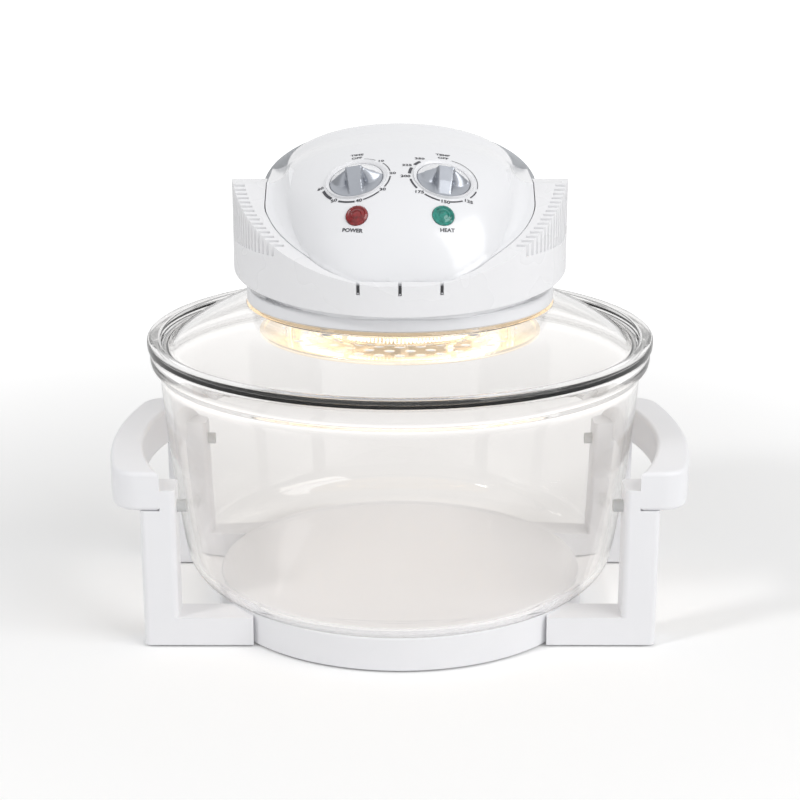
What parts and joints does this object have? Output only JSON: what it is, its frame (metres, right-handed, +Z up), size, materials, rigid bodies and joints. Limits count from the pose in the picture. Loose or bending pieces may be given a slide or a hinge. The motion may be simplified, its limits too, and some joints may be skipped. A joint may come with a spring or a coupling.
{
  "type": "halogen oven",
  "caption": "Countertop mini oven: a glass bowl on a white stand with side grips, a glass lid with a heater and fan head, two dials, lights and a folding carry handle.",
  "frame": {"origin": "on the table, under the middle of the bowl", "axes": "+X to the right along the line of the two side grips, +Y to the back, +Z up; the dials face -Y"},
  "size_m": [0.3806, 0.33, 0.3206],
  "materials": {
    "white_plastic": "glossy",
    "grey_plastic": "satin",
    "dark_plastic": "satin",
    "grey_rubber": "matt",
    "dark_rubber": "matt",
    "steel": "satin",
    "clear_glass": "clear",
    "red_lens": "clear tinted",
    "green_lens": "clear tinted",
    "lamp_glass": "clear",
    "motor_paint": "satin",
    "copper_wire": "satin",
    "chrome_plate": "bright",
    "quartz": "clear",
    "filament_wire": "glowing",
    "ceramic": "matt",
    "brass_pins": "bright",
    "silver_paint": "satin silver",
    "fan_metal": "satin"
  },
  "bodies": {
    "stand": {"base_pedestal": "white_plastic", "front_left_leg": "white_plastic", "front_right_leg": "white_plastic", "rear_left_leg": "white_plastic", "rear_right_leg": "white_plastic", "left_grip": "white_plastic", "right_grip": "white_plastic", "bowl_bumpers": "grey_rubber", "foot_pads": "dark_rubber", "leg_screws": "steel"},
    "bowl": {"glass_bowl": "clear_glass"},
    "head": {"glass_lid": "clear_glass", "lid_gasket": "dark_rubber", "clamp_ring": "steel", "clamp_screws": "steel", "collar_ring": "white_plastic", "control_housing": "white_plastic", "rear_cover": "grey_plastic", "housing_screws": "steel", "power_lens": "red_lens", "heat_lens": "green_lens", "neon_lamps": "lamp_glass", "timer_body": "dark_plastic", "thermostat_body": "dark_plastic", "fan_motor": "motor_paint", "motor_coil": "copper_wire", "heat_shield": "chrome_plate", "shield_spacers": "steel", "halogen_tube": "quartz", "heating_filament": "filament_wire", "tube_end_caps": "ceramic", "tube_clips": "steel", "lamp_guard": "chrome_plate", "guard_posts": "steel", "safety_switch": "dark_plastic", "terminal_block": "ceramic", "thermal_cutout": "dark_plastic", "mains_inlet": "dark_plastic", "inlet_pins": "brass_pins"},
    "handle": {"carry_handle": "white_plastic", "handle_pivots": "steel"},
    "plunger": {"switch_plunger": "red_lens"},
    "timer_dial": {"timer_knob": "silver_paint", "timer_shaft": "steel"},
    "thermostat_dial": {"thermostat_knob": "silver_paint", "thermostat_shaft": "steel"},
    "fan": {"fan_shaft": "steel", "convection_fan": "fan_metal", "cooling_fan": "dark_plastic"}
  },
  "joints": [
    {"name": "bowl_lift", "type": "slide", "parent": "stand", "child": "bowl", "axis": [0, 0, 1], "range_m": [0, 0.12]},
    {"name": "lid_lift", "type": "slide", "parent": "bowl", "child": "head", "axis": [0, 0, 1], "range_m": [0, 0.12]},
    {"name": "handle_tilt", "type": "hinge", "parent": "head", "child": "handle", "pos_m": [0, 0, 0.262], "axis": [-1, 0, 0], "range_deg": [0, 90]},
    {"name": "switch_press", "type": "slide", "parent": "head", "child": "plunger", "axis": [0, 0, 1], "range_m": [0, 0.0016]},
    {"name": "timer_turn", "type": "hinge", "parent": "head", "child": "timer_dial", "pos_m": [-0.027, -0.0568, 0.29917], "axis": [-0.1888, -0.4194, 0.888], "range_deg": [-285, 0]},
    {"name": "thermostat_turn", "type": "hinge", "parent": "head", "child": "thermostat_dial", "pos_m": [0.027, -0.0568, 0.29917], "axis": [0.1888, -0.4194, 0.888], "range_deg": [-325, 0]},
    {"name": "fan_spin", "type": "hinge", "parent": "head", "child": "fan", "pos_m": [0, 0, 0.22], "axis": [0, 0, 1], "continuous": true}
  ],
  "couplings": [
    {"joint": "switch_press", "follows": "handle_tilt", "m_per_rad": 0.00101}
  ]
}
